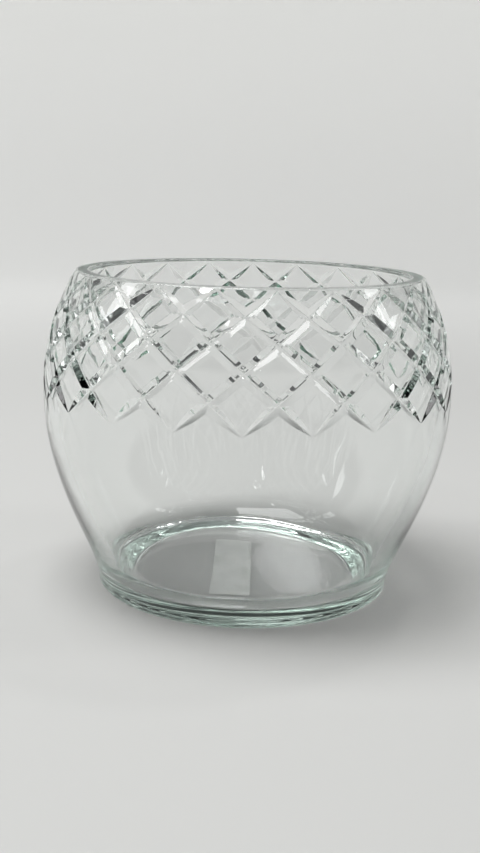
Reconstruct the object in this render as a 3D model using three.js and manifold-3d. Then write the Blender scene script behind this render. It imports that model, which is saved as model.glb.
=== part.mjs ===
// Crystal cachepot: a clear glass vessel, wide at the belly and drawn in to a flat ground rim, with a
// belt of mitre cuts crossing as diamonds round its upper half.
// Millimetres, +Z up. The origin is the middle of the ring that the pot stands on.
import * as THREE from 'three';
import { mergeVertices } from 'three/addons/utils/BufferGeometryUtils.js';
import Module from 'manifold-3d';

const wasm = await Module();
wasm.setup();

// Outside of the glass
const HEIGHT = 96.2;
const RIM_RADIUS = 52.2;
const BELLY_RADIUS = 62;
const BELLY_HEIGHT = 60;
const BASE_RADIUS = 45.4;
const RIM_LEAN = THREE.MathUtils.degToRad(30);
const FOOT_ROUNDING = 1;

// How far each end of the two wall curves holds its own direction, as a share of that curve's height
const FOOT_HOLD = 0.17;
const BELLY_HOLD_BELOW = 0.49;
const BELLY_HOLD_ABOVE = 0.27;
const RIM_HOLD = 0.48;

// Thickness of the glass, measured square to its surface
const RIM_WALL = 3.6;
const FOOT_WALL = 4.8;
const FLOOR_THICKNESS = 3.8;
const FLOOR_CORNER = 7.8;
const RIM_BEVEL = 0.4;

// Shallow recess under the base, which leaves a flat ring to stand on
const RING_WIDTH = 4.5;
const RECESS_DEPTH = 0.7;
const RECESS_SLOPE = 8;

// Belt of mitre cuts: each runs down the wall at a steady angle, half of them to either hand
const DIAMONDS_ROUND = 21;
const ROWS = 5;
const CUT_ANGLE = THREE.MathUtils.degToRad(41);
const CUT_DEPTH = 1.15;
const WHEEL_EDGE_ANGLE = THREE.MathUtils.degToRad(117);
const CUT_RUN_OUT = 12;
const RIM_TO_CUTS = 0.6;

// Blank paper label under the base
const LABEL_WIDTH = 12;
const LABEL_LENGTH = 47.3;
const LABEL_THICKNESS = 0.25;
const LABEL_CORNER = 1;
const LABEL_ASIDE = 3.3;
const LABEL_END_MARGIN = 4.3;
const GLUE_GAP = 0.3;

// Fineness of the facets
const SEGMENTS_PER_DIAMOND = 4;
const BORE_SEGMENTS = 48;
const STEPS_BELOW_BELLY = 9;
const STEPS_ABOVE_BELLY = 6;
const STEPS_PER_ROW = 2;
const FOOT_ROUNDING_STEPS = 2;
const CORNER_STEPS = 4;
const WALL_SAMPLES = 600;
const WELD_DISTANCE = 1e-4;

// Turn of the near side, -Y, where the label's near end and a lower tip of the belt lie
const NEAR_SIDE = -Math.PI / 2;

const recessRadius = BASE_RADIUS - FOOT_ROUNDING - RING_WIDTH;
const recessFlatRadius = recessRadius - RECESS_SLOPE;

// From the rim down along the wall, as far as the rim's bevels reach
const downToBevel = new THREE.Vector2(Math.sin(RIM_LEAN), -Math.cos(RIM_LEAN)).multiplyScalar(RIM_BEVEL);

// The outside wall as two curves of radius and height: foot to belly, and belly to rim
function outsideCurves() {
  const below = BELLY_HEIGHT - FOOT_ROUNDING;
  const above = HEIGHT - BELLY_HEIGHT;
  const hold = RIM_HOLD * above;
  return [
    new THREE.CubicBezierCurve(
      new THREE.Vector2(BASE_RADIUS, FOOT_ROUNDING),
      new THREE.Vector2(BASE_RADIUS, FOOT_ROUNDING + FOOT_HOLD * below),
      new THREE.Vector2(BELLY_RADIUS, BELLY_HEIGHT - BELLY_HOLD_BELOW * below),
      new THREE.Vector2(BELLY_RADIUS, BELLY_HEIGHT),
    ),
    new THREE.CubicBezierCurve(
      new THREE.Vector2(BELLY_RADIUS, BELLY_HEIGHT),
      new THREE.Vector2(BELLY_RADIUS, BELLY_HEIGHT + BELLY_HOLD_ABOVE * above),
      new THREE.Vector2(RIM_RADIUS + hold * Math.sin(RIM_LEAN), HEIGHT - hold * Math.cos(RIM_LEAN)),
      new THREE.Vector2(RIM_RADIUS, HEIGHT),
    ),
  ];
}

// Points up the outside wall, each with the direction of the wall there
function wallSamples(stepsBelow, stepsAbove) {
  const [below, above] = outsideCurves();
  const sample = (curve, part) => ({ point: curve.getPoint(part), along: curve.getTangent(part) });
  const samples = [sample(below, 0)];
  for (let step = 1; step <= stepsBelow; step += 1) samples.push(sample(below, step / stepsBelow));
  for (let step = 1; step <= stepsAbove; step += 1) samples.push(sample(above, step / stepsAbove));
  return samples;
}

// Solid of revolution about Z from a profile of radius and height that starts and ends on the axis
function revolve(profile, segments) {
  const lathe = new THREE.LatheGeometry(profile, segments);
  return lathe.rotateX(Math.PI / 2);
}

// A closed three.js geometry as a solid that can be cut
function toSolid(geometry) {
  geometry.deleteAttribute('normal');
  geometry.deleteAttribute('uv');
  const welded = mergeVertices(geometry, WELD_DISTANCE);
  const index = welded.getIndex().array;
  const corners = [];
  for (let i = 0; i < index.length; i += 3) {
    const [a, b, c] = [index[i], index[i + 1], index[i + 2]];
    if (a !== b && b !== c && c !== a) corners.push(a, b, c);
  }
  return new wasm.Manifold(new wasm.Mesh({
    numProp: 3,
    vertProperties: new Float32Array(welded.getAttribute('position').array),
    triVerts: new Uint32Array(corners),
  }));
}

function toGeometry(solid) {
  const { vertProperties, triVerts } = solid.getMesh();
  const geometry = new THREE.BufferGeometry();
  geometry.setAttribute('position', new THREE.BufferAttribute(vertProperties, 3));
  geometry.setIndex(new THREE.BufferAttribute(triVerts, 1));
  return geometry;
}

// Outside of the pot as a solid block: recess, standing ring, rounded foot, wall and ground rim
function outsideProfile() {
  const foot = new THREE.EllipseCurve(
    BASE_RADIUS - FOOT_ROUNDING, FOOT_ROUNDING, FOOT_ROUNDING, FOOT_ROUNDING, -Math.PI / 2, 0,
  );
  const wall = wallSamples(STEPS_BELOW_BELLY, STEPS_ABOVE_BELLY).map(({ point }) => point);
  const rim = wall.pop();
  return [
    new THREE.Vector2(0, RECESS_DEPTH),
    new THREE.Vector2(recessFlatRadius, RECESS_DEPTH),
    new THREE.Vector2(recessRadius, 0),
    ...foot.getPoints(FOOT_ROUNDING_STEPS).slice(0, -1),
    ...wall,
    rim.clone().add(downToBevel),
    new THREE.Vector2(RIM_RADIUS - RIM_BEVEL, HEIGHT),
    new THREE.Vector2(0, HEIGHT),
  ];
}

// Inside of the pot: flat floor, rounded corner, and a wall that thins towards the rim
function insideProfile() {
  const wall = wallSamples(STEPS_BELOW_BELLY, STEPS_ABOVE_BELLY).map(({ point, along }) => {
    const rise = (point.y - FOOT_ROUNDING) / (HEIGHT - FOOT_ROUNDING);
    const thickness = THREE.MathUtils.lerp(FOOT_WALL, RIM_WALL, rise);
    return new THREE.Vector2(point.x - along.y * thickness, point.y + along.x * thickness);
  });
  const cornerTop = FLOOR_THICKNESS + FLOOR_CORNER;
  const first = wall.findIndex((point) => point.y > cornerTop);
  const [under, over] = [wall[first - 1], wall[first]];
  const slope = (over.x - under.x) / (over.y - under.y);
  const wallFoot = new THREE.Vector2(over.x - slope * (over.y - cornerTop), cornerTop);
  const corner = new THREE.Vector2(wallFoot.x - slope * FLOOR_CORNER, FLOOR_THICKNESS);
  const tangent = wallFoot.distanceTo(corner);
  const turn = Math.PI / 2 - Math.atan(slope);
  const radius = tangent / Math.tan(turn / 2);
  const rounding = new THREE.EllipseCurve(
    corner.x - tangent, FLOOR_THICKNESS + radius, radius, radius, -Math.PI / 2, turn - Math.PI / 2,
  );
  const mouth = new THREE.Vector2(RIM_RADIUS - RIM_WALL / Math.cos(RIM_LEAN), HEIGHT);
  const bevelFoot = mouth.clone().add(downToBevel);
  return [
    new THREE.Vector2(0, FLOOR_THICKNESS),
    ...rounding.getPoints(CORNER_STEPS),
    ...wall.slice(first).filter((point) => point.y < bevelFoot.y - RIM_BEVEL),
    bevelFoot,
    new THREE.Vector2(mouth.x + RIM_BEVEL, HEIGHT),
    new THREE.Vector2(mouth.x + RIM_BEVEL, HEIGHT + RIM_BEVEL),
    new THREE.Vector2(0, HEIGHT + RIM_BEVEL),
  ];
}

// The outside wall measured for the cutter. A cut that keeps a steady angle to the level turns round
// the pot in step with the sum of distance over radius up the wall, which is kept here as climb.
function measuredWall() {
  const samples = wallSamples(WALL_SAMPLES, WALL_SAMPLES);
  let climb = 0;
  let length = 0;
  return samples.map(({ point, along }, index) => {
    if (index > 0) {
      const before = samples[index - 1].point;
      const step = point.distanceTo(before);
      length += step;
      climb += (2 * step) / (point.x + before.x);
    }
    return { point, along, climb, length };
  });
}

const wallTable = measuredWall();
const wallLength = wallTable[wallTable.length - 1].length;
const beltTop = wallTable.find(({ length }) => length >= wallLength - RIM_TO_CUTS).climb;
const halfTurn = Math.PI / DIAMONDS_ROUND;
const rowClimb = halfTurn * Math.tan(CUT_ANGLE);

// Place on the wall that is a number of rows below the top of the belt, at a given turn
function placeOnWall(rows, turn) {
  const climb = beltTop - rows * rowClimb;
  const over = Math.max(1, wallTable.findIndex((sample) => sample.climb >= climb));
  const [a, b] = [wallTable[over - 1], wallTable[over]];
  const part = (climb - a.climb) / (b.climb - a.climb);
  const point = a.point.clone().lerp(b.point, part);
  const along = a.along.clone().lerp(b.along, part).normalize();
  return {
    centre: new THREE.Vector3(point.x * Math.cos(turn), point.x * Math.sin(turn), point.y),
    out: new THREE.Vector3(along.y * Math.cos(turn), along.y * Math.sin(turn), -along.x),
  };
}

// Depth of a cut: full along its middle, easing to nothing at both ends as the wheel lifts out
function cutDepth(fromEnd) {
  const lift = Math.max(0, 1 - fromEnd / CUT_RUN_OUT);
  return CUT_DEPTH * (1 - lift * lift);
}

// What the edge of the wheel removes in one cut: a bar of V section, bent along the wall from the top
// of the belt to its foot. It stands as far out of the glass as it cuts in.
function mitreCutter(start, hand) {
  const reach = CUT_DEPTH + CUT_DEPTH;
  const half = reach * Math.tan(WHEEL_EDGE_ANGLE / 2);
  const edge = new THREE.Shape([
    new THREE.Vector2(0, 0),
    new THREE.Vector2(half, reach),
    new THREE.Vector2(-half, reach),
  ]);
  const steps = ROWS * STEPS_PER_ROW;
  const stations = [];
  for (let step = 0; step <= steps; step += 1) {
    const rows = (step / steps) * ROWS;
    stations.push(placeOnWall(rows, start + hand * rows * halfTurn));
  }
  const lengths = [0];
  for (let step = 1; step <= steps; step += 1) {
    lengths.push(lengths[step - 1] + stations[step].centre.distanceTo(stations[step - 1].centre));
  }
  const bar = new THREE.ExtrudeGeometry(edge, { depth: steps, steps, bevelEnabled: false });
  const position = bar.getAttribute('position');
  const along = new THREE.Vector3();
  const across = new THREE.Vector3();
  for (let i = 0; i < position.count; i += 1) {
    const step = Math.round(position.getZ(i));
    const { centre, out } = stations[step];
    const ahead = stations[Math.min(step + 1, steps)].centre;
    const behind = stations[Math.max(step - 1, 0)].centre;
    along.subVectors(ahead, behind).normalize();
    across.crossVectors(out, along).normalize();
    const depth = cutDepth(Math.min(lengths[step], lengths[steps] - lengths[step]));
    const vertex = centre.clone();
    vertex.addScaledVector(across, position.getX(i));
    vertex.addScaledVector(out, position.getY(i) - depth);
    position.setXYZ(i, vertex.x, vertex.y, vertex.z);
  }
  return toSolid(bar);
}

function glassBody() {
  let glass = toSolid(revolve(outsideProfile(), DIAMONDS_ROUND * SEGMENTS_PER_DIAMOND));
  glass = glass.subtract(toSolid(revolve(insideProfile(), BORE_SEGMENTS)));
  for (let cut = 0; cut < DIAMONDS_ROUND; cut += 1) {
    const start = NEAR_SIDE + (2 * cut - ROWS) * halfTurn;
    for (const hand of [-1, 1]) {
      glass = glass.subtract(mitreCutter(start, hand));
    }
  }
  const material = new THREE.MeshStandardMaterial({
    color: 0xdfe6e1, roughness: 0.03, metalness: 0, transparent: true, opacity: 0.35,
  });
  const mesh = new THREE.Mesh(toGeometry(glass), material);
  mesh.name = 'glass_body';
  return mesh;
}

// Rounded rectangle of paper in the recess, its near end a little way in from the standing ring
function baseLabel() {
  const [x, y, r] = [LABEL_WIDTH / 2, LABEL_LENGTH / 2, LABEL_CORNER];
  const outline = new THREE.Shape();
  outline.moveTo(r - x, -y);
  outline.lineTo(x - r, -y);
  outline.absarc(x - r, r - y, r, -Math.PI / 2, 0);
  outline.lineTo(x, y - r);
  outline.absarc(x - r, y - r, r, 0, Math.PI / 2);
  outline.lineTo(r - x, y);
  outline.absarc(r - x, y - r, r, Math.PI / 2, Math.PI);
  outline.lineTo(-x, r - y);
  outline.absarc(r - x, r - y, r, Math.PI, 1.5 * Math.PI);
  const sheet = new THREE.ExtrudeGeometry(outline, {
    depth: LABEL_THICKNESS, bevelEnabled: false, curveSegments: CORNER_STEPS,
  });
  const material = new THREE.MeshStandardMaterial({ color: 0xd3dad4, roughness: 0.8, metalness: 0 });
  const mesh = new THREE.Mesh(sheet, material);
  mesh.name = 'base_label';
  const farCorner = LABEL_ASIDE + LABEL_WIDTH / 2;
  const nearEnd = -Math.sqrt((recessFlatRadius - LABEL_END_MARGIN) ** 2 - farCorner ** 2);
  mesh.position.set(-LABEL_ASIDE, nearEnd + LABEL_LENGTH / 2, RECESS_DEPTH - GLUE_GAP - LABEL_THICKNESS);
  return mesh;
}

const cachepot = new THREE.Group();
cachepot.add(glassBody(), baseLabel());

export default cachepot;
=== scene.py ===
"""A cut-crystal cachepot on a pale studio floor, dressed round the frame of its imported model.

Sizes of the glass are in millimetres, as a maker would give them, and are turned to metres where a
mesh is made. The studio and the camera are in metres.
"""

from __future__ import annotations

import logging
import math
from dataclasses import dataclass, field
from enum import Enum

import bmesh
import bpy
import numpy as np
from mathutils import Matrix, Vector

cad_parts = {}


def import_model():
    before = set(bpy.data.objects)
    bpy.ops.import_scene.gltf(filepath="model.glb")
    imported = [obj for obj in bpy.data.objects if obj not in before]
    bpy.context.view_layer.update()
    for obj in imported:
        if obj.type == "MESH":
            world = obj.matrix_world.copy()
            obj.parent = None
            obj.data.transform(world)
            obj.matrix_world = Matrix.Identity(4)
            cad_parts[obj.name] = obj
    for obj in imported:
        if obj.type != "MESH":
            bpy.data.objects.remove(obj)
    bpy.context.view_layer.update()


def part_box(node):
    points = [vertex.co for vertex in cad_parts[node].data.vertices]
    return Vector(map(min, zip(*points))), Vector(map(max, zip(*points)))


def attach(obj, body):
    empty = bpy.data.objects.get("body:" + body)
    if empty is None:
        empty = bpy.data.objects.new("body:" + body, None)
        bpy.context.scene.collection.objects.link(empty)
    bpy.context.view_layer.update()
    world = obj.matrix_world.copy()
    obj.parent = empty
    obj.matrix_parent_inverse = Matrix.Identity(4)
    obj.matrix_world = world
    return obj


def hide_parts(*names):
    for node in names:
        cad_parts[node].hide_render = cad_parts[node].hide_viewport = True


LOG = logging.getLogger("cachepot")
MM = 0.001
ROOT_BODY = "root"
GLASS_NODE = "glass_body"
LABEL_NODE = "base_label"
POLISH = "polish"
NEAR_SIDE = -math.pi / 2
MAX_BOUNCES = 40
TRANSMISSION_BOUNCES = 32
# Light that is mirrored inside the glass counts as glossy, and turns greener with each bounce
GLOSSY_BOUNCES = 16


def linear_from_hex(colour: str) -> tuple[float, float, float, float]:
    """Turns an sRGB hex colour into linear light.

    Args:
        colour: Six hex digits after a hash sign.

    Returns:
        Red, green, blue and alpha, with alpha 1.
    """
    parts = [int(colour[i : i + 2], 16) / 255 for i in (1, 3, 5)]
    return (*[c / 12.92 if c <= 0.04045 else ((c + 0.055) / 1.055) ** 2.4 for c in parts], 1.0)


def add_node(
    tree: bpy.types.NodeTree, kind: str, settings: dict | None = None, links: dict | None = None
) -> bpy.types.Node:
    """Adds one shader node with its settings and its links.

    Args:
        tree: Node tree that takes the node.
        kind: Blender's name of the node's type.
        settings: Values by the name or number of an input, or else by the name of a property.
        links: Output sockets by the name or number of the input that they feed.

    Returns:
        The new node.
    """
    node = tree.nodes.new(kind)
    for name, value in (settings or {}).items():
        if isinstance(name, int) or name in node.inputs:
            node.inputs[name].default_value = value
        else:
            setattr(node, name, value)
    for name, socket in (links or {}).items():
        tree.links.new(socket, node.inputs[name])
    return node


def new_material(name: str) -> tuple[bpy.types.Material, bpy.types.NodeTree]:
    """Makes an empty node material.

    Args:
        name: The material's name.

    Returns:
        The material and its node tree.
    """
    material = bpy.data.materials.new(name)
    material.use_nodes = True
    material.node_tree.nodes.clear()
    return material, material.node_tree


def soft_larger(first: np.ndarray, second: np.ndarray | float, rounding: float) -> np.ndarray:
    """Takes the larger of two depths, with the corner between them rounded off.

    Args:
        first: Depths.
        second: The depths that they are set against.
        rounding: Width of the rounding, in the depths' own unit.

    Returns:
        The larger depths.
    """
    return (first + second + np.sqrt((first - second) ** 2 + rounding**2)) / 2


def mesh_object(name: str, mesh: bpy.types.Mesh) -> bpy.types.Object:
    """Links a mesh into the scene.

    Args:
        name: The object's name.
        mesh: Its mesh.

    Returns:
        The object.
    """
    made = bpy.data.objects.new(name, mesh)
    bpy.context.scene.collection.objects.link(made)
    return made


class Polish(Enum):
    """How a stretch of the glass got its surface, as the value kept in the mesh attribute."""

    FIRE = 0.0
    WHEEL = 1.0
    GROUND = 2.0


@dataclass(frozen=True)
class WallPath:
    """The outside wall as fine samples from the foot to the rim, in millimetres."""

    radius: np.ndarray
    height: np.ndarray
    lean: np.ndarray
    rise: np.ndarray
    length: np.ndarray
    climb: np.ndarray

    def at(self, measure: np.ndarray, value: np.ndarray) -> tuple[np.ndarray, ...]:
        """Reads the wall where one of its measures has a value.

        Args:
            measure: The length, climb or height samples.
            value: Values of that measure.

        Returns:
            Radius and height, and the outward normal's radial and upward parts.
        """
        radius = np.interp(value, measure, self.radius)
        height = np.interp(value, measure, self.height)
        lean = np.interp(value, measure, self.lean)
        rise = np.interp(value, measure, self.rise)
        size = np.hypot(lean, rise)
        return radius, height, rise / size, -lean / size


@dataclass(frozen=True)
class PotWall:
    """Profile of the pot, in millimetres: two curves outside, and a wall that thins towards the rim."""

    height: float
    belly_radius: float
    rim_radius: float = 52.2
    belly_height: float = 60.0
    base_radius: float = 45.4
    rim_lean: float = math.radians(30)
    foot_rounding: float = 1.0
    foot_hold: float = 0.17
    belly_hold_below: float = 0.49
    belly_hold_above: float = 0.27
    rim_hold: float = 0.48
    rim_wall: float = 3.6
    foot_wall: float = 4.8
    floor_thickness: float = 3.8
    floor_corner: float = 7.8
    rim_bevel: float = 0.4
    ring_width: float = 4.5
    recess_depth: float = 0.7
    recess_slope: float = 8.0
    curve_samples: int = 900

    def path(self) -> WallPath:
        """Samples both curves of the outside wall.

        Returns:
            The samples, from the foot to the rim.
        """
        below = self.belly_height - self.foot_rounding
        above = self.height - self.belly_height
        hold = self.rim_hold * above
        curves = (
            (
                (self.base_radius, self.foot_rounding),
                (self.base_radius, self.foot_rounding + self.foot_hold * below),
                (self.belly_radius, self.belly_height - self.belly_hold_below * below),
                (self.belly_radius, self.belly_height),
            ),
            (
                (self.belly_radius, self.belly_height),
                (self.belly_radius, self.belly_height + self.belly_hold_above * above),
                (
                    self.rim_radius + hold * math.sin(self.rim_lean),
                    self.height - hold * math.cos(self.rim_lean),
                ),
                (self.rim_radius, self.height),
            ),
        )
        share = np.linspace(0, 1, self.curve_samples)[:, None]
        points = []
        directions = []
        for start, first, second, end in np.array(curves):
            rest = 1 - share
            held = 3 * rest * share * (rest * first + share * second)
            points.append(rest**3 * start + held + share**3 * end)
            turning = 2 * rest * share * (second - first)
            directions.append(rest**2 * (first - start) + turning + share**2 * (end - second))
        points = np.vstack([points[0], points[1][1:]])
        directions = np.vstack([directions[0], directions[1][1:]])
        steps = np.hypot(*np.diff(points, axis=0).T)
        middle = (points[1:, 0] + points[:-1, 0]) / 2
        return WallPath(
            radius=points[:, 0],
            height=points[:, 1],
            lean=directions[:, 0] / np.hypot(*directions.T),
            rise=directions[:, 1] / np.hypot(*directions.T),
            length=np.concatenate([[0], np.cumsum(steps)]),
            climb=np.concatenate([[0], np.cumsum(steps / middle)]),
        )

    def inside(self, path: WallPath) -> np.ndarray:
        """Offsets the outside wall inwards by the thickness of the glass.

        Args:
            path: Samples of the outside wall.

        Returns:
            Radius and height of each sample of the inside wall, from the foot to the rim.
        """
        share = (path.height - self.foot_rounding) / (self.height - self.foot_rounding)
        thickness = self.foot_wall + (self.rim_wall - self.foot_wall) * share
        return np.stack([path.radius - path.rise * thickness, path.height + path.lean * thickness], 1)


@dataclass(frozen=True)
class MitreBelt:
    """The belt of mitre cuts. Places in it are a turn, in half diamonds, and a row below its top."""

    path: WallPath
    diamonds_round: int = 21
    rows: int = 5
    cut_angle: float = math.radians(41)
    cut_depth: float = 1.15
    wheel_edge_angle: float = math.radians(117)
    run_out: float = 12.0
    rim_to_cuts: float = 0.6
    valley_rounding: float = 0.15
    edge_rounding: float = 0.07
    least_width: float = 0.02
    flank_lines: tuple[float, ...] = (0.0, 0.05, 0.12, 0.5, 0.93, 1.0, 1.07)
    table_lines: int = 3
    settling_passes: int = 30
    depth_samples: int = 400
    # The cuts fade out this near to the ends, where the belt is welded to the plain wall
    seam_rows: float = 0.04

    @property
    def half_turn(self) -> float:
        """Angle of half a diamond round the pot."""
        return math.pi / self.diamonds_round

    @property
    def top_climb(self) -> float:
        """Climb of the wall at the top of the belt."""
        top = self.path.length[-1] - self.rim_to_cuts
        return float(np.interp(top, self.path.length, self.path.climb))

    def climb(self, row: np.ndarray) -> np.ndarray:
        """Climb of the wall at a row of the belt."""
        return self.top_climb - row * self.half_turn * math.tan(self.cut_angle)

    def spacing(self, row: np.ndarray) -> np.ndarray:
        """Distance between parallel cuts at a row, in millimetres."""
        radius = np.interp(self.climb(row), self.path.climb, self.path.radius)
        return radius * self.half_turn * 2 * math.sin(self.cut_angle)

    def depth(self, row: np.ndarray) -> np.ndarray:
        """Gives the depth of a cut on its own line. It dies away at both ends, where the wheel lifts out.

        Args:
            row: Rows of the belt.

        Returns:
            The depths, in millimetres.
        """
        fine = np.linspace(0, self.rows, self.depth_samples)
        radius = np.interp(self.climb(fine), self.path.climb, self.path.radius)
        per_row = radius * self.half_turn / math.cos(self.cut_angle)
        steps = np.diff(fine) * (per_row[1:] + per_row[:-1]) / 2
        along = np.interp(row, fine, np.concatenate([[0], np.cumsum(steps)]))
        from_end = np.minimum(along, steps.sum() - along)
        lift = np.clip(1 - from_end / self.run_out, 0, 1)
        return self.cut_depth * (1 - lift**2)

    def half_width(self, row: np.ndarray) -> np.ndarray:
        """Gives half the width of a cut. Past the belt's ends it is mirrored.

        Args:
            row: Rows of the belt.

        Returns:
            The half widths, as shares of the spacing.
        """
        inside = np.abs(row)
        inside = np.where(inside > self.rows, 2 * self.rows - inside, inside)
        half = self.depth(inside) * math.tan(self.wheel_edge_angle / 2) / self.spacing(inside)
        return np.maximum(half, self.least_width)

    def cut_in(self, turn: np.ndarray, row: np.ndarray) -> np.ndarray:
        """Gives the depth of glass that the wheel has taken.

        Args:
            turn: Turns of the places, in half diamonds.
            row: Their rows.

        Returns:
            The depths, in millimetres.
        """
        slope = 1 / math.tan(self.wheel_edge_angle / 2)
        lean = 2 * math.cos(self.cut_angle) ** 2
        depths = []
        for hand in (1, -1):
            lattice = (turn + hand * row) / 2
            aside = lattice - np.round(lattice)
            foot = row - hand * lean * aside
            away = np.hypot(aside * self.spacing(foot), self.valley_rounding)
            depths.append(self.depth(foot) - slope * away)
        return soft_larger(soft_larger(*depths, self.edge_rounding), 0.0, self.edge_rounding)

    def place(self, turn: np.ndarray, row: np.ndarray) -> np.ndarray:
        """Places points on the cut wall.

        Args:
            turn: Turns of the points, in half diamonds.
            row: Their rows.

        Returns:
            Their places in millimetres, with x, y and z last.
        """
        radius, height, outward, upward = self.path.at(self.path.climb, self.climb(row))
        from_end = np.minimum(row, self.rows - row)
        cut = self.cut_in(turn, row) * np.clip(from_end / self.seam_rows, 0, 1)
        angle = NEAR_SIDE + (turn - self.rows) * self.half_turn
        radius = radius - outward * cut
        return np.stack([radius * np.cos(angle), radius * np.sin(angle), height - upward * cut], -1)

    def cell_lines(self, centre_row: int) -> tuple[np.ndarray, np.ndarray]:
        """Finds the mesh lines of one diamond, which follow the edges of its four cuts.

        Args:
            centre_row: The row of the diamond's left and right corners.

        Returns:
            Two square arrays: how far each mesh point is from the upper left cut and from the lower
            left cut, as shares of the spacing.
        """
        flank = np.array(self.flank_lines)
        middle = np.linspace(0, 1, self.table_lines + 2)[1:-1]
        count = 2 * len(flank) + len(middle)
        near = np.concatenate([flank, np.full(count - len(flank), flank[-1])])
        far = near[::-1]
        blend = np.concatenate([np.zeros(len(flank)), middle, np.ones(len(flank))])
        lean = 2 * math.cos(self.cut_angle) ** 2
        start = np.linspace(0, 1, count)
        first, second = np.meshgrid(start, start, indexing="ij")
        for _ in range(self.settling_passes):
            row = centre_row + first - second
            low = self.half_width(row - lean * first)
            high = self.half_width(row - lean * (first - 1))
            mix = blend[:, None]
            new_first = near[:, None] * low * (1 - mix) + (1 - far[:, None] * high) * mix
            low = self.half_width(row + lean * second)
            high = self.half_width(row + lean * (second - 1))
            mix = blend[None, :]
            new_second = near[None, :] * low * (1 - mix) + (1 - far[None, :] * high) * mix
            first, second = new_first, new_second
        return first, second


@dataclass
class Outline:
    """A profile of radius and height in millimetres, with the ripple and polish of each point."""

    points: list[tuple[float, float]] = field(default_factory=list)
    ripples: list[float] = field(default_factory=list)
    polishes: list[float] = field(default_factory=list)

    def follow(self, points: np.ndarray, ripple: float = 0.0, polish: Polish = Polish.FIRE) -> None:
        """Adds points, with a ripple that swells from nothing at their start and dies away at their end.

        Args:
            points: Radius and height of each point.
            ripple: Depth of the unevenness in the middle of the stretch.
            polish: How the stretch got its surface.
        """
        share = np.linspace(0, 1, len(points))
        self.points.extend(map(tuple, points))
        self.ripples.extend(ripple * np.sin(math.pi * share))
        self.polishes.extend([polish.value] * len(points))

    def bend(self, start: np.ndarray, corner: np.ndarray, end: np.ndarray, steps: int) -> None:
        """Adds a corner rounded to an arc.

        Args:
            start: Where the rounding starts.
            corner: The sharp corner that it takes off, as far from the start as from the end.
            end: Where it ends.
            steps: Number of facets in it.
        """
        bisector = (start + end) / 2 - corner
        reach = start - corner
        centre = corner + bisector * (reach @ reach) / (bisector @ bisector)
        first, last = start - centre, end - centre
        turn = math.atan2(first[0] * last[1] - first[1] * last[0], first @ last)
        angle = np.linspace(0, turn, steps + 1)[:, None]
        across = np.array([-first[1], first[0]])
        self.follow(centre + np.cos(angle) * first + np.sin(angle) * across)


def even_points(points: np.ndarray, spacing: float, ends: tuple[bool, bool]) -> np.ndarray:
    """Places points at an even spacing along a line of radius and height.

    Args:
        points: The line's own points.
        spacing: About how far apart the new ones are.
        ends: Whether the first and the last of them are kept.

    Returns:
        The new points.
    """
    steps = np.hypot(*np.diff(points, axis=0).T)
    length = np.concatenate([[0], np.cumsum(steps)])
    count = max(2, round(length[-1] / spacing) + 1)
    places = np.linspace(0, length[-1], count)
    places = places[0 if ends[0] else 1 : count if ends[1] else count - 1]
    return np.stack([np.interp(places, length, column) for column in points.T], 1)


@dataclass(frozen=True)
class Unevenness:
    """Slow waves that blowing leaves in hot glass, as a sum of plane waves. Lengths in millimetres."""

    waves: int = 14
    seed: int = 41
    shortest: float = 22.0
    longest: float = 70.0
    peak: float = 2.0

    def at(self, points: np.ndarray) -> np.ndarray:
        """Gives the height of the unevenness.

        Args:
            points: Places in millimetres, with x, y and z last.

        Returns:
            The heights, which stay between about -peak and peak.
        """
        draw = np.random.default_rng(self.seed)
        total = np.zeros(points.shape[:-1])
        for _ in range(self.waves):
            way = draw.normal(size=3)
            length = draw.uniform(self.shortest, self.longest)
            phase = draw.uniform(0, 2 * math.pi)
            total += np.cos(2 * math.pi * (points @ (way / np.linalg.norm(way))) / length + phase)
        return total / math.sqrt(self.waves / 2)


@dataclass
class MeshSketch:
    """Points and faces gathered from several grids, to be welded into one mesh."""

    points: list[np.ndarray] = field(default_factory=list)
    polishes: list[np.ndarray] = field(default_factory=list)
    faces: list[tuple[int, ...]] = field(default_factory=list)
    count: int = 0

    def add_points(self, points: np.ndarray, polishes: np.ndarray) -> np.ndarray:
        """Adds a grid of points.

        Args:
            points: Places in millimetres, with x, y and z last.
            polishes: How each point got its surface, in the same grid.

        Returns:
            The number of each point, in the same grid.
        """
        shape = points.shape[:-1]
        numbers = self.count + np.arange(np.prod(shape)).reshape(shape)
        self.points.append(points.reshape(-1, 3))
        self.polishes.append(np.broadcast_to(polishes, shape).ravel())
        self.count += numbers.size
        return numbers

    def weld(self, name: str, weld_distance: float) -> bpy.types.Mesh:
        """Joins points that coincide and makes the mesh, in metres.

        Args:
            name: The mesh's name.
            weld_distance: Points nearer to each other than this become one, in metres.

        Returns:
            The mesh, with the attribute polish on its points.
        """
        mesh = bpy.data.meshes.new(name)
        mesh.from_pydata(np.vstack(self.points) * MM, [], self.faces)
        polish = mesh.attributes.new(POLISH, "FLOAT", "POINT")
        polish.data.foreach_set("value", np.concatenate(self.polishes).astype(np.float32))
        work = bmesh.new()
        work.from_mesh(mesh)
        bmesh.ops.remove_doubles(work, verts=work.verts, dist=weld_distance)
        bmesh.ops.dissolve_degenerate(work, edges=work.edges, dist=weld_distance / 10)
        # Half a diamond at the belt's end leaves the points of its other half over
        unused = [vertex for vertex in work.verts if not vertex.link_faces]
        bmesh.ops.delete(work, geom=unused, context="VERTS")
        work.to_mesh(mesh)
        work.free()
        return mesh


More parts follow.
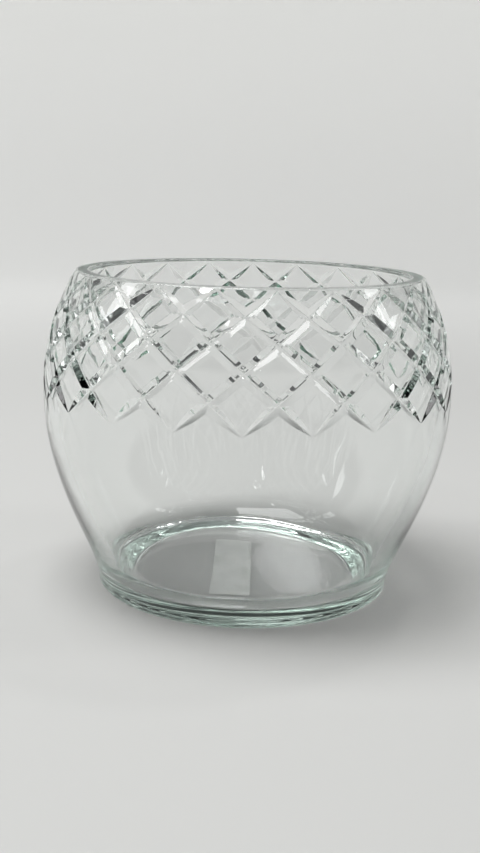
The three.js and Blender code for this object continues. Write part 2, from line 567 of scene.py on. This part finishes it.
@dataclass(frozen=True)
class CrystalFinish:
    """Clear crystal as the eye sees it: fire-polished walls, wheel-cut flanks and a ground rim.

    The metal of the glass is almost colourless. Only a long way through it, as along the base, does
    it turn grey-green.
    """

    tint: str = "#FEFEFE"
    refraction: float = 1.53
    # Share of the light that is left after 100 mm of glass, in red, green and blue
    left_after_100_mm: tuple[float, float, float] = (0.72, 0.87, 0.80)
    fire_roughness: float = 0.0
    wheel_roughness: float = 0.03
    ground_roughness: float = 0.4
    smudge_roughness: float = 0.03
    smudge_mm: float = 18.0
    # Where in the noise, which runs from 0 to 1, a smear starts and is at its fullest
    smudge_range: tuple[float, float] = (0.45, 0.75)
    skin_mm: float = 7.0
    skin_depth_mm: float = 0.02

    def build(self) -> bpy.types.Material:
        """Makes the material.

        Returns:
            The material, which reads the mesh attribute polish.
        """
        material, tree = new_material("clear_crystal_cut_and_polished")
        polish = add_node(tree, "ShaderNodeAttribute", {"attribute_name": POLISH})
        place = add_node(tree, "ShaderNodeTexCoord")
        # Wiped glass keeps faint smears, which blur a reflection here and there
        smears = add_node(
            tree,
            "ShaderNodeTexNoise",
            {"Scale": 1 / (self.smudge_mm * MM), "Detail": 3.0, "Roughness": 0.6},
            {"Vector": place.outputs["Object"]},
        )
        # Cut flanks are acid-polished, so a little duller than the wall, and the ground rim is satin
        roughness = None
        for measure, low, high, least, most in (
            (smears.outputs["Fac"], *self.smudge_range, self.fire_roughness, self.smudge_roughness),
            (polish.outputs["Fac"], Polish.FIRE.value, Polish.WHEEL.value, 0.0, self.wheel_roughness),
            (polish.outputs["Fac"], Polish.WHEEL.value, Polish.GROUND.value, 0.0, self.ground_roughness),
        ):
            share = add_node(
                tree,
                "ShaderNodeMapRange",
                {"From Min": low, "From Max": high, "To Min": least, "To Max": most},
                {"Value": measure},
            ).outputs["Result"]
            if roughness is None:
                roughness = share
                continue
            total = add_node(
                tree, "ShaderNodeMath", {"operation": "ADD", "use_clamp": True}, {0: roughness, 1: share}
            )
            roughness = total.outputs["Value"]
        # The skin of blown glass is never quite flat: a fine ripple, shallower than a hair
        ripple = add_node(
            tree,
            "ShaderNodeTexNoise",
            {"Scale": 1 / (self.skin_mm * MM), "Detail": 2.0},
            {"Vector": place.outputs["Object"]},
        )
        skin = add_node(
            tree,
            "ShaderNodeBump",
            {"Strength": 0.5, "Distance": self.skin_depth_mm * MM},
            {"Height": ripple.outputs["Fac"]},
        )
        gloss = add_node(
            tree,
            "ShaderNodeBsdfPrincipled",
            {
                "Base Color": linear_from_hex(self.tint),
                "IOR": self.refraction,
                "Transmission Weight": 1.0,
            },
            {"Roughness": roughness, "Normal": skin.outputs["Normal"]},
        )
        lost = [-math.log(left) / (100 * MM) for left in self.left_after_100_mm]
        # The node takes away density x (1 - colour), so a denser absorption has a paler colour
        density = 2 * max(lost)
        depth = add_node(
            tree,
            "ShaderNodeVolumeAbsorption",
            {"Color": (*[1 - loss / density for loss in lost], 1.0), "Density": density},
        )
        add_node(
            tree,
            "ShaderNodeOutputMaterial",
            None,
            {"Surface": gloss.outputs["BSDF"], "Volume": depth.outputs["Volume"]},
        )
        return material


@dataclass(frozen=True)
class PaperFinish:
    """Uncoated sticker paper: matt, a little grey, with its fibres and a few faint stains."""

    colour: str = "#F8F9F6"
    stain: str = "#E2E5E0"
    roughness: float = 0.82
    fibre_mm: float = 0.5
    fibre_depth_mm: float = 0.05
    stain_mm: float = 9.0
    stain_range: tuple[float, float] = (0.42, 0.7)

    def build(self) -> bpy.types.Material:
        """Makes the material.

        Returns:
            The material.
        """
        material, tree = new_material("uncoated_sticker_paper")
        place = add_node(tree, "ShaderNodeTexCoord")
        stains = add_node(
            tree,
            "ShaderNodeTexNoise",
            {"Scale": 1 / (self.stain_mm * MM), "Detail": 4.0, "Roughness": 0.6},
            {"Vector": place.outputs["Object"]},
        )
        fibres = add_node(
            tree,
            "ShaderNodeTexNoise",
            {"Scale": 1 / (self.fibre_mm * MM), "Detail": 3.0, "Distortion": 1.5},
            {"Vector": place.outputs["Object"]},
        )
        stained = add_node(
            tree,
            "ShaderNodeMapRange",
            {"From Min": self.stain_range[0], "From Max": self.stain_range[1]},
            {"Value": stains.outputs["Fac"]},
        )
        colour = add_node(
            tree,
            "ShaderNodeMix",
            {"data_type": "RGBA", 6: linear_from_hex(self.colour), 7: linear_from_hex(self.stain)},
            {0: stained.outputs["Result"]},
        )
        bump = add_node(
            tree,
            "ShaderNodeBump",
            {"Strength": 0.6, "Distance": self.fibre_depth_mm * MM},
            {"Height": fibres.outputs["Fac"]},
        )
        paper = add_node(
            tree,
            "ShaderNodeBsdfPrincipled",
            {"Roughness": self.roughness},
            {"Base Color": colour.outputs[2], "Normal": bump.outputs["Normal"]},
        )
        add_node(tree, "ShaderNodeOutputMaterial", None, {"Surface": paper.outputs["BSDF"]})
        return material


@dataclass(frozen=True)
class GlassBody:
    """The pot itself: one piece of glass, with its wall, base, ground rim and belt of cuts."""

    wall: PotWall
    belt: MitreBelt
    finish: CrystalFinish
    unevenness: Unevenness = Unevenness()
    wall_spacing: float = 1.3
    floor_spacing: float = 2.0
    rim_spacing: float = 0.4
    ring_spacing: float = 0.9
    eye_radius: float = 0.5
    corner_steps: int = 12
    edge_steps: int = 3
    foot_steps: int = 6
    recess_steps: int = 24
    polished_from: float = 0.1
    inside_ripple: float = 0.045
    outside_ripple: float = 0.025
    floor_ripple: float = 0.03
    even_rings: int = 9
    weld_distance: float = 1e-6
    crease: float = math.radians(28)

    def inner_outline(self) -> Outline:
        """Draws the profile from the middle of the inner floor up the inside wall to the rim.

        Returns:
            The profile, outwards and upwards.
        """
        wall = self.wall
        inside = wall.inside(self.belt.path)
        corner_top = wall.floor_thickness + wall.floor_corner
        over = int(np.argmax(inside[:, 1] > corner_top))
        slope = np.diff(inside[over - 1 : over + 1], axis=0)[0]
        slope = slope / np.hypot(*slope)
        wall_foot = inside[over] - slope * (inside[over, 1] - corner_top) / slope[1]
        corner = wall_foot - slope * wall.floor_corner / slope[1]
        floor_edge = corner - np.array([np.hypot(*(wall_foot - corner)), 0])
        mouth = np.array([wall.rim_radius - wall.rim_wall / math.cos(wall.rim_lean), wall.height])
        outline = Outline()
        floor = np.array([[self.eye_radius, wall.floor_thickness], floor_edge])
        outline.follow(even_points(floor, self.floor_spacing, (True, False)), self.floor_ripple)
        outline.bend(floor_edge, corner, wall_foot, self.corner_steps)
        upwards = np.vstack([wall_foot, inside[over:], self.bevel_foot(mouth)])
        outline.follow(even_points(upwards, self.wall_spacing, (False, False)), self.inside_ripple)
        outline.bend(self.bevel_foot(mouth), mouth, mouth + [wall.rim_bevel, 0], self.edge_steps)
        return outline

    def bevel_foot(self, edge: np.ndarray) -> np.ndarray:
        """Lower end of the small bevel at an edge of the rim."""
        wall = self.wall
        return edge + wall.rim_bevel * np.array([math.sin(wall.rim_lean), -math.cos(wall.rim_lean)])

    def rim_outline(self) -> Outline:
        """Draws the ground rim and the strip of wall between it and the belt.

        Returns:
            The profile, outwards and downwards.
        """
        wall = self.wall
        edge = np.array([wall.rim_radius, wall.height])
        inner = wall.rim_radius - wall.rim_wall / math.cos(wall.rim_lean) + wall.rim_bevel
        flat = np.array([[inner, wall.height], [wall.rim_radius - wall.rim_bevel, wall.height]])
        outline = Outline()
        outline.follow(even_points(flat, self.rim_spacing, (False, False)), polish=Polish.GROUND)
        outline.bend(flat[1], edge, self.bevel_foot(edge), self.edge_steps)
        radius, height, _, _ = self.belt.path.at(self.belt.path.climb, np.array([self.belt.top_climb]))
        outline.follow(np.stack([radius, height], 1))
        return outline

    def lower_outline(self) -> Outline:
        """Draws the profile from the foot of the belt down the wall and in to the middle of the base.

        Returns:
            The profile, downwards and inwards.
        """
        wall = self.wall
        path = self.belt.path
        foot = self.belt.climb(np.array([float(self.belt.rows)]))[0]
        below = path.climb < foot
        radius, height, _, _ = path.at(path.climb, np.array([foot]))
        samples = np.stack([path.radius, path.height], 1)[below]
        downwards = np.vstack([np.stack([radius, height], 1), samples[::-1]])
        outline = Outline()
        outline.follow(even_points(downwards, self.wall_spacing, (True, False)), self.outside_ripple)
        rounding = wall.foot_rounding
        quarter = np.linspace(0, math.pi / 2, self.foot_steps + 1)
        middle = np.array([wall.base_radius - rounding, rounding])
        outline.follow(middle + rounding * np.stack([np.cos(quarter), -np.sin(quarter)], 1))
        ring_inner = np.array([wall.base_radius - rounding - wall.ring_width, 0.0])
        recess = ring_inner + [-wall.recess_slope, wall.recess_depth]
        ring = np.array([[wall.base_radius - rounding, 0.0], ring_inner])
        outline.follow(even_points(ring, self.ring_spacing, (False, False)))
        share = np.linspace(0, 1, self.recess_steps + 1)[:, None]
        swell = share**2 * (3 - 2 * share)
        outline.follow(np.hstack([ring_inner[0] - wall.recess_slope * share, wall.recess_depth * swell]))
        inwards = np.array([recess, [self.eye_radius, wall.recess_depth]])
        outline.follow(even_points(inwards, self.floor_spacing, (False, True)))
        return outline

    def rings(self, sketch: MeshSketch, outline: Outline, turns: np.ndarray) -> np.ndarray:
        """Turns a profile round the axis into rings of mesh.

        Args:
            sketch: Takes the points and faces.
            outline: The profile.
            turns: Turn of each point of each ring, in half diamonds.

        Returns:
            The numbers of the points, ring by ring.
        """
        profile = np.array(outline.points)
        direction = np.gradient(profile, axis=0)
        direction /= np.hypot(*direction.T)[:, None]
        angle = NEAR_SIDE + (turns - self.belt.rows) * self.belt.half_turn
        radius = profile[:, :1] + 0 * angle
        height = profile[:, 1:] + 0 * angle
        points = np.stack([radius * np.cos(angle), radius * np.sin(angle), height], -1)
        # The ripple only ever goes into the glass, so that the outside stays within its own size
        swell = self.unevenness.at(points) - self.unevenness.peak
        ripple = np.array(outline.ripples)[:, None] * swell
        radius -= direction[:, 1:] * ripple
        height += direction[:, :1] * ripple
        points = np.stack([radius * np.cos(angle), radius * np.sin(angle), height], -1)
        numbers = sketch.add_points(points, np.array(outline.polishes)[:, None])
        after = np.roll(numbers, -1, 1)
        for ring in range(len(numbers) - 1):
            sketch.faces.extend(zip(numbers[ring + 1], after[ring + 1], after[ring], numbers[ring]))
        return numbers

    def close(self, sketch: MeshSketch, ring: np.ndarray, height: float) -> None:
        """Closes a small ring round the axis with a fan of faces.

        Args:
            sketch: Takes the middle point and the faces.
            ring: Numbers of the ring's points, clockwise as seen by someone who looks at the faces.
            height: Height of the middle point, in millimetres.
        """
        middle = int(sketch.add_points(np.array([[0.0, 0.0, height]]), np.zeros(1))[0])
        sketch.faces.extend((first, second, middle) for first, second in zip(np.roll(ring, -1), ring))

    def cut_belt(self, sketch: MeshSketch) -> list[np.ndarray]:
        """Builds the diamonds between the cuts, with half diamonds along the top and the foot.

        Args:
            sketch: Takes the points and faces.

        Returns:
            Where the mesh lines cross the top and the foot of the belt, as shares of a diamond.
        """
        belt = self.belt
        shares = []
        for row in range(belt.rows + 1):
            first, second = belt.cell_lines(row)
            last = len(first) - 1
            if row in (0, belt.rows):
                shares.append(np.diagonal(first)[:-1])
            for diamond in range(belt.diamonds_round):
                turn = row + 2 * diamond + first + second
                rows = row + first - second
                cut = belt.cut_in(turn, rows) > self.polished_from
                polish = np.where(cut, Polish.WHEEL.value, Polish.FIRE.value)
                numbers = sketch.add_points(belt.place(turn, rows), polish)
                for i in range(last):
                    for j in range(last):
                        self.belt_face(sketch, numbers, i, j, row)
        return shares

    def belt_face(self, sketch: MeshSketch, numbers: np.ndarray, i: int, j: int, row: int) -> None:
        """Adds one patch of a diamond, split along the ridges where two cuts meet.

        Args:
            sketch: Takes the faces.
            numbers: The diamond's points.
            i: The patch's place away from the upper left cut.
            j: Its place away from the lower left cut.
            row: The diamond's row, which tells whether only half of it is in the belt.
        """
        last = len(numbers) - 1
        low_left, low_right = numbers[i, j], numbers[i + 1, j]
        top_right, top_left = numbers[i + 1, j + 1], numbers[i, j + 1]
        has_lower = row < self.belt.rows
        has_upper = row > 0
        if (i > j and not has_lower) or (i < j and not has_upper):
            return
        if i == j:
            if has_lower:
                sketch.faces.append((low_left, low_right, top_right))
            if has_upper:
                sketch.faces.append((low_left, top_right, top_left))
        elif i + j == last - 1:
            sketch.faces.append((low_left, low_right, top_left))
            sketch.faces.append((low_right, top_right, top_left))
        else:
            sketch.faces.append((low_left, low_right, top_right, top_left))

    def build(self) -> bpy.types.Object:
        """Makes the glass and dresses it.

        Returns:
            The finished piece, which stands for the node glass_body.
        """
        belt = self.belt
        sketch = MeshSketch()
        top_shares, foot_shares = self.cut_belt(sketch)
        even = np.arange(len(top_shares)) / len(top_shares)
        diamonds = np.arange(belt.diamonds_round)[:, None]
        loose = (2 * (diamonds + even)).ravel()
        top = (2 * (diamonds + top_shares)).ravel()
        foot = (2 * (diamonds + foot_shares)).ravel()

        inner = self.inner_outline()
        rim = self.rim_outline()
        upper = Outline(
            inner.points + rim.points, inner.ripples + rim.ripples, inner.polishes + rim.polishes
        )
        # The columns are even inside, and close up to the belt's own lines as they cross the rim
        gather = np.zeros(len(upper.points))
        flat = rim.polishes.count(Polish.GROUND.value) + 1
        gather[-len(rim.points) :] = np.minimum(np.arange(1, len(rim.points) + 1) / flat, 1)
        numbers = self.rings(sketch, upper, loose + (top - loose) * gather[:, None])
        self.close(sketch, numbers[0][::-1], self.wall.floor_thickness)

        # Below the belt they spread out again, over the first few rings
        lower = self.lower_outline()
        gather = np.clip(1 - np.arange(len(lower.points)) / self.even_rings, 0, 1)
        odd = belt.rows % 2
        numbers = self.rings(sketch, lower, odd + loose + (foot - loose) * gather[:, None])
        self.close(sketch, numbers[-1], self.wall.recess_depth)

        mesh = sketch.weld("cut_glass_body", self.weld_distance)
        mesh.polygons.foreach_set("use_smooth", [True] * len(mesh.polygons))
        mesh.set_sharp_from_angle(angle=self.crease)
        piece = mesh_object("cut_glass_body", mesh)
        weighted = piece.modifiers.new("flat_flanks", "WEIGHTED_NORMAL")
        weighted.keep_sharp = True
        piece.data.materials.append(self.finish.build())
        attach(piece, ROOT_BODY)
        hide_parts(GLASS_NODE)
        return piece


@dataclass(frozen=True)
class BaseLabel:
    """Blank paper label glued under the base: a thin sheet with round corners and a few creases.

    The paper lies on its glue here and there only, with a breath of air between it and the glass. So it
    shows from above, and doesn't through the side of the base, which mirrors what is under it.
    """

    low: Vector
    high: Vector
    glass_height: float
    finish: PaperFinish
    corner: float = 1.0
    thickness: float = 0.12
    air_gap: float = 0.03
    crease_depth: float = 0.04
    crease_width: float = 0.35
    crease_bow: float = 0.05
    creases: tuple[float, ...] = (0.37, 0.78, 0.86)
    steps_across: int = 24
    steps_along: int = 180
    fold_angle: float = math.radians(50)
    weld_distance: float = 1e-7

    def sheet(self) -> tuple[np.ndarray, np.ndarray, np.ndarray]:
        """Places the label's points.

        Returns:
            Grids of x, y and the height of the upper face, in millimetres.
        """
        half = np.array([self.high.x - self.low.x, self.high.y - self.low.y]) / 2 / MM
        middle = np.array([self.high.x + self.low.x, self.high.y + self.low.y]) / 2 / MM
        across = np.linspace(-half[0], half[0], self.steps_across + 1)
        along = np.linspace(-half[1], half[1], self.steps_along + 1)
        x, y = np.meshgrid(across, along, indexing="ij")
        past_x = np.maximum(np.abs(x) - (half[0] - self.corner), 0)
        past_y = np.maximum(np.abs(y) - (half[1] - self.corner), 0)
        reach = np.hypot(past_x, past_y)
        pull = np.where(reach > 0, np.maximum(past_x, past_y) / np.maximum(reach, 1e-9), 1)
        x = np.sign(x) * (np.abs(x) - past_x * (1 - pull))
        y = np.sign(y) * (np.abs(y) - past_y * (1 - pull))
        height = np.full(x.shape, self.glass_height - self.air_gap)
        for place in self.creases:
            away = y + half[1] - place * 2 * half[1] + self.crease_bow * x
            height -= self.crease_depth * np.exp(-((away / self.crease_width) ** 2))
        return x + middle[0], y + middle[1], height

    def build(self) -> bpy.types.Object:
        """Makes the label and dresses it.

        Returns:
            The finished piece, which stands for the node base_label.
        """
        x, y, top = self.sheet()
        sketch = MeshSketch()
        over = sketch.add_points(np.stack([x, y, top], -1), np.zeros(1))
        under = sketch.add_points(np.stack([x, y, top - self.thickness], -1), np.zeros(1))
        for i in range(over.shape[0] - 1):
            for j in range(over.shape[1] - 1):
                sketch.faces.append((over[i, j], over[i + 1, j], over[i + 1, j + 1], over[i, j + 1]))
                sketch.faces.append((under[i, j + 1], under[i + 1, j + 1], under[i + 1, j], under[i, j]))
        border = np.concatenate([over[:-1, 0], over[-1, :-1], over[:0:-1, -1], over[0, :0:-1]])
        border_under = border + (under[0, 0] - over[0, 0])
        after = np.roll(border, -1)
        after_under = np.roll(border_under, -1)
        sketch.faces.extend(zip(border_under, after_under, after, border))
        mesh = sketch.weld("paper_label", self.weld_distance)
        mesh.polygons.foreach_set("use_smooth", [True] * len(mesh.polygons))
        mesh.set_sharp_from_angle(angle=self.fold_angle)
        piece = mesh_object("paper_label", mesh)
        piece.data.materials.append(self.finish.build())
        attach(piece, ROOT_BODY)
        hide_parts(LABEL_NODE)
        return piece


@dataclass(frozen=True)
class SoftBox:
    """A lamp with a soft face, in metres. A radiance of 1 is a white sheet in full light."""

    name: str
    place: tuple[float, float, float]
    size: tuple[float, float]
    radiance: float

    def hang(self, aim: Vector) -> None:
        """Hangs the lamp so that it faces a point.

        Args:
            aim: The point.
        """
        lamp = bpy.data.lights.new(self.name, "AREA")
        lamp.shape = "RECTANGLE"
        lamp.size, lamp.size_y = self.size
        lamp.energy = self.radiance * math.pi * self.size[0] * self.size[1]
        box = bpy.data.objects.new(self.name, lamp)
        box.location = self.place
        box.rotation_euler = (aim - box.location).to_track_quat("-Z", "Y").to_euler()
        bpy.context.scene.collection.objects.link(box)


@dataclass(frozen=True)
class Studio:
    """A pale floor that sweeps up into a backdrop on every side, under soft boxes, its paint graded paler
    far off as painted light. In metres.

    Clear glass shows only what stands round it. A dark band runs round the top of the backdrop, above
    the picture, and gives the glass its dark lines. The grey dome and the soft boxes in it give the
    light ones. The main box hangs to the left of the pot, so that the two flanks of a cut differ.
    """

    floor_colour: str = "#D0D0CE"
    # Painted light: the paint turns this much paler far off, in place of the light that falls off towards
    # the backdrop
    painted_light_far_colour: str = "#F8F8F6"
    band_colour: str = "#454647"
    dome_colour: str = "#8C8E8E"
    floor_radius: float = 1.0
    sweep_radius: float = 0.6
    sweep_height: float = 0.4
    painted_light_from: float = 0.3
    painted_light_full: float = 1.0
    band_start: float = 0.42
    band_full: float = 0.52
    backdrop_height: float = 1.25
    aim_height: float = 0.05
    lamps: tuple[SoftBox, ...] = (
        SoftBox("main_box", (-0.42, -0.05, 1.54), (1.0, 1.0), 6.1),
        SoftBox("left_box", (-1.25, 0.0, 0.95), (0.2, 0.9), 4.5),
        SoftBox("right_box", (1.25, 0.05, 0.95), (0.16, 0.8), 4.5),
        SoftBox("left_spark", (-0.55, -0.8, 1.2), (0.09, 0.09), 40.0),
        SoftBox("rear_spark", (0.35, 0.5, 1.35), (0.09, 0.09), 40.0),
    )
    # The floor lies a hair under the ring, as two faces in one plane would show as speckles
    floor_gap: float = 0.00002
    flat_rings: tuple[float, ...] = (0.2, 0.4, 0.7)
    sweep_steps: int = 24
    round_steps: int = 128
    weld_distance: float = 1e-6

    def floor(self) -> bpy.types.Object:
        """Makes the floor and backdrop as one turned sheet.

        Returns:
            The sheet.
        """
        flat = np.array(self.flat_rings)
        quarter = np.linspace(0, math.pi / 2, self.sweep_steps + 1)
        sweep = self.floor_radius + self.sweep_radius * np.sin(quarter)
        lift = self.sweep_height * (1 - np.cos(quarter))
        radii = np.concatenate([flat, sweep, sweep[-1:]])
        heights = np.concatenate([0 * flat, lift, [self.backdrop_height]])
        angle = np.linspace(0, 2 * math.pi, self.round_steps + 1)[:-1]
        radius = radii[:, None] + 0 * angle
        height = heights[:, None] - self.floor_gap + 0 * angle
        points = np.stack([radius * np.cos(angle), radius * np.sin(angle), height], -1) / MM
        sketch = MeshSketch()
        grid = sketch.add_points(points, np.zeros(1))
        after = np.roll(grid, -1, 1)
        for ring in range(len(grid) - 1):
            sketch.faces.extend(zip(grid[ring], grid[ring + 1], after[ring + 1], after[ring]))
        sketch.faces.append(tuple(grid[0]))
        mesh = sketch.weld("studio_floor", self.weld_distance)
        mesh.polygons.foreach_set("use_smooth", [True] * len(mesh.polygons))
        floor = mesh_object("studio_floor", mesh)
        mesh.materials.append(self.paint())
        return floor

    def paint(self) -> bpy.types.Material:
        """Makes the matt paint of the floor, with painted light that turns it paler far off, and dark in
        the band high on the backdrop.

        Returns:
            The material.
        """
        material, tree = new_material("matt_studio_paint")
        place = add_node(tree, "ShaderNodeTexCoord")
        parts = add_node(tree, "ShaderNodeSeparateXYZ", None, {"Vector": place.outputs["Object"]})
        away = add_node(
            tree, "ShaderNodeVectorMath", {"operation": "LENGTH"}, {"Vector": place.outputs["Object"]}
        )
        colour = add_node(tree, "ShaderNodeRGB")
        colour.outputs["Color"].default_value = linear_from_hex(self.floor_colour)
        below = colour.outputs["Color"]
        # The first step is painted light, paler paint far off in place of the light that falls off there;
        # the second is the dark band
        for measure, start, end, shade in (
            (away.outputs["Value"], self.painted_light_from, self.painted_light_full, self.painted_light_far_colour),
            (parts.outputs["Z"], self.band_start, self.band_full, self.band_colour),
        ):
            change = add_node(
                tree,
                "ShaderNodeMapRange",
                {"From Min": start, "From Max": end, "interpolation_type": "SMOOTHSTEP"},
                {"Value": measure},
            )
            mix = add_node(
                tree,
                "ShaderNodeMix",
                {"data_type": "RGBA", 7: linear_from_hex(shade)},
                {0: change.outputs["Result"], 6: below},
            )
            below = mix.outputs[2]
        paint = add_node(
            tree,
            "ShaderNodeBsdfPrincipled",
            {"Roughness": 0.9, "Specular IOR Level": 0.1},
            {"Base Color": below},
        )
        add_node(tree, "ShaderNodeOutputMaterial", None, {"Surface": paint.outputs["BSDF"]})
        return material

    def build(self) -> None:
        """Sets up the floor, the lamps and the world."""
        self.floor()
        for lamp in self.lamps:
            lamp.hang(Vector((0, 0, self.aim_height)))
        world = bpy.data.worlds.new("studio_air")
        bpy.context.scene.world = world
        world.use_nodes = True
        tree = world.node_tree
        tree.nodes.clear()
        air = add_node(tree, "ShaderNodeBackground", {"Color": linear_from_hex(self.dome_colour)})
        add_node(tree, "ShaderNodeOutputWorld", None, {"Surface": air.outputs["Background"]})


@dataclass(frozen=True)
class PhotoCamera:
    """The photograph's viewpoint, fitted to the rim, the base, the silhouettes and the cuts."""

    # Distance from the pot's axis and height above its foot, in metres
    distance: float = 0.33986
    height: float = 0.12444
    pitch: float = math.radians(12.656)
    yaw: float = math.radians(-0.321)
    roll: float = math.radians(1.487)
    lens_mm: float = 47.27
    # The belt's nearest tip is this far to the left of the line of sight
    belt_turn: float = math.radians(0.96)
    clip_start: float = 0.01
    clip_end: float = 20.0

    def build(self) -> bpy.types.Object:
        """Makes the camera and gives it to the scene.

        Returns:
            The camera's object.
        """
        camera = bpy.data.cameras.new("photo_camera")
        camera.lens = self.lens_mm
        camera.clip_start = self.clip_start
        camera.clip_end = self.clip_end
        ahead = Vector(
            (
                math.sin(self.yaw) * math.cos(self.pitch),
                math.cos(self.yaw) * math.cos(self.pitch),
                -math.sin(self.pitch),
            )
        )
        level_right = Vector((math.cos(self.yaw), -math.sin(self.yaw), 0))
        level_up = level_right.cross(ahead)
        right = math.cos(self.roll) * level_right + math.sin(self.roll) * level_up
        up = math.cos(self.roll) * level_up - math.sin(self.roll) * level_right
        stand = Matrix((right, up, -ahead)).transposed().to_4x4()
        stand.translation = Vector((0, -self.distance, self.height))
        made = bpy.data.objects.new("photo_camera", camera)
        made.matrix_world = Matrix.Rotation(self.belt_turn, 4, "Z") @ stand
        bpy.context.scene.collection.objects.link(made)
        bpy.context.scene.camera = made
        return made


def main() -> None:
    """Builds the pot, its label, the studio and the camera, and logs their face counts and the lens."""
    logging.basicConfig(level=logging.INFO, format="%(name)s: %(message)s")
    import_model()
    scene = bpy.context.scene
    scene.view_settings.view_transform = "Standard"
    scene.cycles.max_bounces = MAX_BOUNCES
    scene.cycles.transmission_bounces = TRANSMISSION_BOUNCES
    scene.cycles.glossy_bounces = GLOSSY_BOUNCES

    low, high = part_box(GLASS_NODE)
    wall = PotWall(height=high.z / MM, belly_radius=(high.x - low.x) / 2 / MM)
    glass = GlassBody(wall, MitreBelt(wall.path()), CrystalFinish()).build()
    LOG.info("%s: %d faces", glass.name, len(glass.data.polygons))
    label = BaseLabel(*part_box(LABEL_NODE), wall.recess_depth, PaperFinish()).build()
    LOG.info("%s: %d faces", label.name, len(label.data.polygons))
    studio = Studio()
    studio.build()
    LOG.info("studio: %d lamps", len(studio.lamps))
    camera = PhotoCamera().build()
    LOG.info("%s: lens %.2f mm", camera.name, camera.data.lens)


if __name__ == "__main__":
    main()
